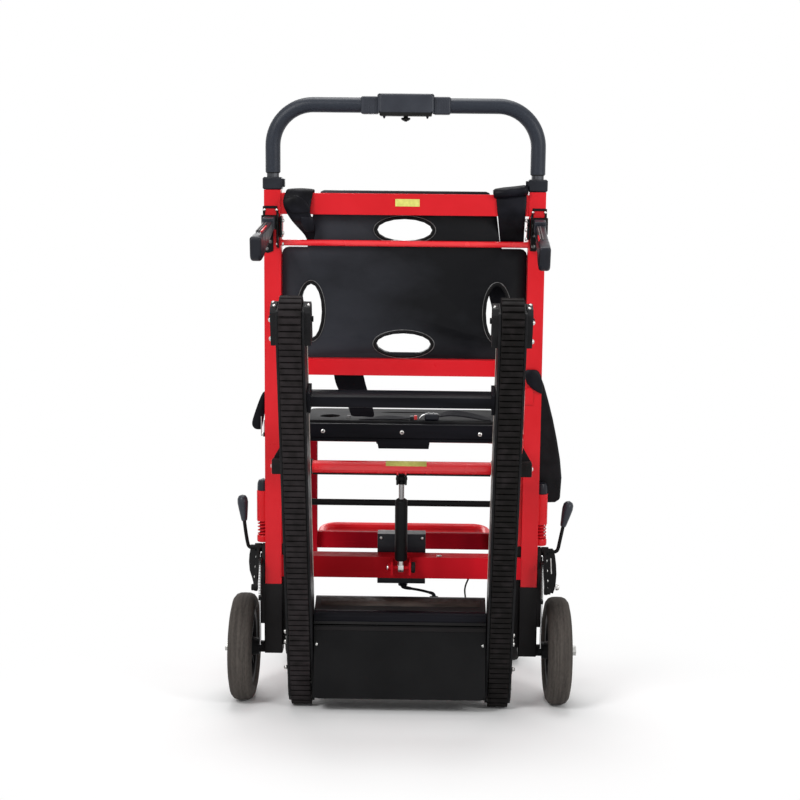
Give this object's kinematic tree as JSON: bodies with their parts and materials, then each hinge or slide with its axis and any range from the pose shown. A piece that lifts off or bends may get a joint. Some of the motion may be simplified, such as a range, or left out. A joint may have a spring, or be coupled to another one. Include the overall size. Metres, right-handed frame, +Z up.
{
  "type": "stair climbing transport chair",
  "caption": "Folding transport chair with rubber tracks behind, a drive box between them, a telescopic push handle and fold-out carrying arms.",
  "frame": {"origin": "on the floor, in the middle plane, under the rear wheels' axle", "axes": "+X to the right seen from behind, +Y the way the sitter faces, +Z up"},
  "size_m": [0.658, 0.8772, 1.1186],
  "materials": {
    "red": "glossy red powder coat",
    "black_steel": "satin black paint",
    "rail": "black anodised",
    "track_alloy": "black anodised",
    "tube_metal": "plain tube, grey",
    "bare_metal": "bright zinc",
    "panel": "moulded, satin black",
    "plastic": "matt black",
    "rim_plastic": "black nylon",
    "foam": "black foam sleeve",
    "rubber": "black rubber",
    "belt": "black ribbed rubber",
    "tyre": "dusty grey rubber",
    "webbing": "black webbing",
    "button": "red"
  },
  "bodies": {
    "chassis": {"upright_left": "red", "upright_right": "red", "top_crossbar": "red", "middle_crossbar": "red", "lower_crossbar": "red", "backrest_panel": "panel", "collar_left": "plastic", "collar_right": "plastic", "sleeve_left": "black_steel", "sleeve_right": "black_steel", "drive_casing": "black_steel", "casing_lid": "black_steel", "rear_cover": "black_steel", "drive_motor": "bare_metal", "battery_pack": "plastic", "junction_box": "plastic", "drive_cable": "rubber", "shoulder_strap_left": "webbing", "shoulder_strap_right": "webbing", "side_strap": "webbing", "plunger_spring_left": "bare_metal", "plunger_spring_right": "bare_metal"},
    "push_handle": {"handle_tube": "tube_metal", "handle_grip": "foam", "control_box": "plastic"},
    "switch": {"power_switch": "plastic"},
    "release_rod": {"pull_rod": "red"},
    "lift_arm_left": {"lift_handle_left": "plastic"},
    "lift_arm_right": {"lift_handle_right": "plastic"},
    "plunger_rod_left": {"plunger_left": "black_steel"},
    "plunger_rod_right": {"plunger_right": "black_steel"},
    "brake_left": {"brake_lever_left": "black_steel"},
    "brake_right": {"brake_lever_right": "black_steel"},
    "rear_wheel_left": {"tyre_left": "tyre", "wheel_hub_left": "rim_plastic"},
    "rear_wheel_right": {"tyre_right": "tyre", "wheel_hub_right": "rim_plastic"},
    "seat": {"seat_frame": "red", "seat_panel": "panel", "seat_rear_rail": "rail", "lap_belt": "webbing"},
    "belt_button": {"buckle_button": "button"},
    "seat_brace": {"brace": "black_steel"},
    "legs": {"front_legs": "red"},
    "foot_rest": {"foot_loop": "red"},
    "fork_left": {"caster_fork_left": "bare_metal"},
    "fork_right": {"caster_fork_right": "bare_metal"},
    "front_wheel_left": {"caster_wheel_left": "rubber"},
    "front_wheel_right": {"caster_wheel_right": "rubber"},
    "tracks": {"track_frame_left": "track_alloy", "track_frame_right": "track_alloy", "belt_left": "belt", "belt_right": "belt", "upper_bar": "rail", "push_bar": "red"},
    "idler_roller_left": {"idler_left": "rim_plastic"},
    "idler_roller_right": {"idler_right": "rim_plastic"},
    "drive_axle": {"drive_shaft": "bare_metal"},
    "gas_body": {"gas_cylinder": "black_steel"},
    "gas_stem": {"gas_rod": "bare_metal"}
  },
  "joints": [
    {"name": "handle_height", "type": "slide", "parent": "chassis", "child": "push_handle", "axis": [0, -0.1045, 0.9945], "range_m": [-0.006, 0.15]},
    {"name": "switch_rock", "type": "hinge", "parent": "push_handle", "child": "switch", "pos_m": [0, -0.10341, 1.07906], "axis": [1, 0, 0], "range_deg": [-15, 15], "stiffness_Nm_per_rad": 0.03},
    {"name": "release_pull", "type": "slide", "parent": "chassis", "child": "release_rod", "axis": [0, -0.1045, 0.9945], "range_m": [0, 0.012], "stiffness_N_per_m": 300},
    {"name": "seat_fold", "type": "hinge", "parent": "chassis", "child": "seat", "pos_m": [0, 0.005, 0.5], "axis": [1, 0, 0], "range_deg": [0, 75]},
    {"name": "belt_release", "type": "slide", "parent": "seat", "child": "belt_button", "axis": [1, 0, 0], "range_m": [0, 0.003], "stiffness_N_per_m": 200},
    {"name": "brace_swing", "type": "hinge", "parent": "chassis", "child": "seat_brace", "pos_m": [0, 0.01845, 0.372], "axis": [1, 0, 0], "range_deg": [0, 75]},
    {"name": "leg_fold", "type": "hinge", "parent": "seat", "child": "legs", "pos_m": [0, 0.35, 0.5], "axis": [1, 0, 0], "range_deg": [-75, 0]},
    {"name": "foot_rest_fold", "type": "hinge", "parent": "legs", "child": "foot_rest", "pos_m": [0, 0.41917, 0.24748], "axis": [1, 0, 0], "range_deg": [0, 75]},
    {"name": "track_fold", "type": "hinge", "parent": "chassis", "child": "tracks", "pos_m": [0, -0.0375, 0.04], "axis": [1, 0, 0], "range_deg": [0, 12]},
    {"name": "drive_turn", "type": "hinge", "parent": "chassis", "child": "drive_axle", "pos_m": [0, -0.0375, 0.04], "axis": [1, 0, 0], "continuous": true},
    {"name": "gas_swing", "type": "hinge", "parent": "chassis", "child": "gas_body", "pos_m": [0, -0.06, 0.262], "axis": [1, 0, 0], "range_deg": [0, 26.2]},
    {"name": "gas_stroke", "type": "slide", "parent": "gas_body", "child": "gas_stem", "axis": [0, -0.2316, 0.9728], "range_m": [0, 0.015]},
    {"name": "lift_arm_fold_left", "type": "hinge", "parent": "chassis", "child": "lift_arm_left", "pos_m": [-0.24, -0.11499, 0.88498], "axis": [1, 0, 0], "range_deg": [0, 73.6]},
    {"name": "plunger_lift_left", "type": "slide", "parent": "chassis", "child": "plunger_rod_left", "axis": [0, -0.1045, 0.9945], "range_m": [0, 0.012], "stiffness_N_per_m": 300, "deforming": ["plunger_spring_left"]},
    {"name": "brake_turn_left", "type": "hinge", "parent": "chassis", "child": "brake_left", "pos_m": [-0.262, 0, 0.287], "axis": [1, 0, 0], "range_deg": [0, 26]},
    {"name": "rear_wheel_turn_left", "type": "hinge", "parent": "chassis", "child": "rear_wheel_left", "pos_m": [-0.2933, 0, 0.1], "axis": [1, 0, 0], "continuous": true},
    {"name": "caster_swivel_left", "type": "hinge", "parent": "legs", "child": "fork_left", "pos_m": [-0.232, 0.39597, 0.22998], "axis": [0, 0, 1], "continuous": true},
    {"name": "caster_turn_left", "type": "hinge", "parent": "fork_left", "child": "front_wheel_left", "pos_m": [-0.232, 0.36596, 0.0625], "axis": [1, 0, 0], "continuous": true},
    {"name": "idler_turn_left", "type": "hinge", "parent": "tracks", "child": "idler_roller_left", "pos_m": [-0.181, -0.33468, 0.71443], "axis": [1, 0, 0], "continuous": true},
    {"name": "lift_arm_fold_right", "type": "hinge", "parent": "chassis", "child": "lift_arm_right", "pos_m": [0.24, -0.11499, 0.88498], "axis": [1, 0, 0], "range_deg": [0, 69.4]},
    {"name": "plunger_lift_right", "type": "slide", "parent": "chassis", "child": "plunger_rod_right", "axis": [0, -0.1045, 0.9945], "range_m": [0, 0.012], "stiffness_N_per_m": 300, "deforming": ["plunger_spring_right"]},
    {"name": "brake_turn_right", "type": "hinge", "parent": "chassis", "child": "brake_right", "pos_m": [0.262, 0, 0.287], "axis": [1, 0, 0], "range_deg": [0, 26]},
    {"name": "rear_wheel_turn_right", "type": "hinge", "parent": "chassis", "child": "rear_wheel_right", "pos_m": [0.2933, 0, 0.1], "axis": [1, 0, 0], "continuous": true},
    {"name": "caster_swivel_right", "type": "hinge", "parent": "legs", "child": "fork_right", "pos_m": [0.232, 0.39597, 0.22998], "axis": [0, 0, 1], "continuous": true},
    {"name": "caster_turn_right", "type": "hinge", "parent": "fork_right", "child": "front_wheel_right", "pos_m": [0.232, 0.36596, 0.0625], "axis": [1, 0, 0], "continuous": true},
    {"name": "idler_turn_right", "type": "hinge", "parent": "tracks", "child": "idler_roller_right", "pos_m": [0.181, -0.33468, 0.71443], "axis": [1, 0, 0], "continuous": true}
  ],
  "couplings": [
    {"joint": "brace_swing", "follows": "seat_fold", "ratio": 1},
    {"joint": "leg_fold", "follows": "seat_fold", "ratio": -1},
    {"joint": "gas_swing", "follows": "track_fold", "ratio": 2.168},
    {"joint": "gas_stroke", "follows": "track_fold", "m_per_rad": 0.07},
    {"joint": "idler_turn_left", "follows": "drive_turn", "ratio": 1},
    {"joint": "idler_turn_right", "follows": "drive_turn", "ratio": 1}
  ]
}
